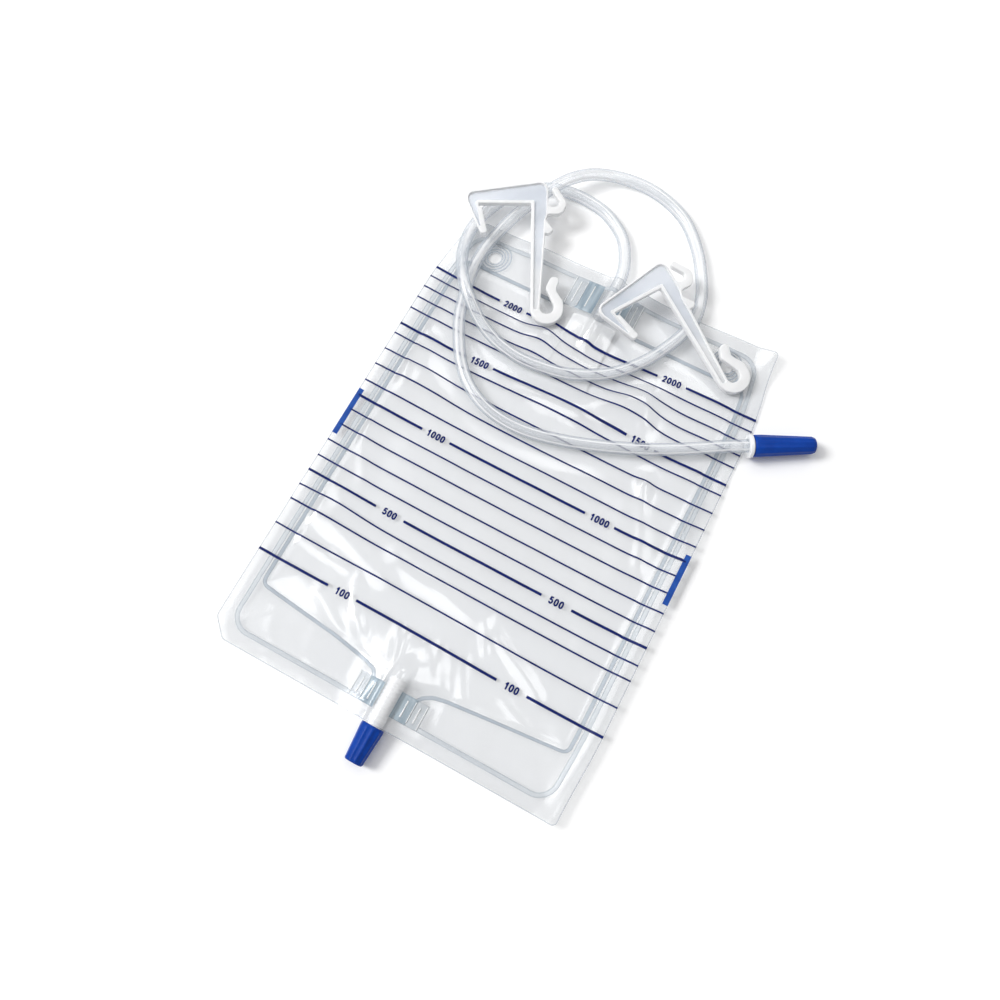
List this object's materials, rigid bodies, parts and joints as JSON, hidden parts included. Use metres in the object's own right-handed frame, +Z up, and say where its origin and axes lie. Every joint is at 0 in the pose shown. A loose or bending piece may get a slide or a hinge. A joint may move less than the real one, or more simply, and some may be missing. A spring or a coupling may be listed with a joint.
{
  "type": "urine drainage bag",
  "caption": "Flat clear drainage bag with a graduated front, looped inlet tube with capped connector, push-pull outlet sleeve, non-return valve and hook hangers.",
  "frame": {"origin": "on the table, under the middle of the bag", "axes": "+X to the right across the bag's printed front, +Y from the outlet towards the inlet, +Z up out of the front film"},
  "size_m": [0.2365, 0.3629, 0.0192],
  "materials": {
    "film": "clear soft vinyl film, glossy",
    "valve_film": "thin milky film",
    "white_plastic": "satin white moulding",
    "seal_rubber": "black rubber ring",
    "blue_plastic": "glossy blue moulding",
    "clear_tube": "clear vinyl tube",
    "connector_plastic": "near-white translucent moulding",
    "hanger_plastic": "near-white translucent moulding"
  },
  "bodies": {
    "bag": {"back_film": "film", "front_film": "film", "valve_back_film": "valve_film", "valve_front_film": "valve_film", "outlet_body": "white_plastic", "outlet_seal": "seal_rubber", "inlet_tube": "clear_tube", "connector": "connector_plastic", "hanger_left": "hanger_plastic", "hanger_right": "hanger_plastic"},
    "sleeve": {"drain_sleeve": "blue_plastic"},
    "cap": {"connector_cap": "blue_plastic"}
  },
  "joints": [
    {"name": "outlet_pull", "type": "slide", "parent": "bag", "child": "sleeve", "axis": [0, -1, 0], "range_m": [0, 0.006]},
    {"name": "cap_pull", "type": "slide", "parent": "bag", "child": "cap", "axis": [0.8693, 0.4918, -0.0488], "range_m": [0, 0.027]}
  ]
}
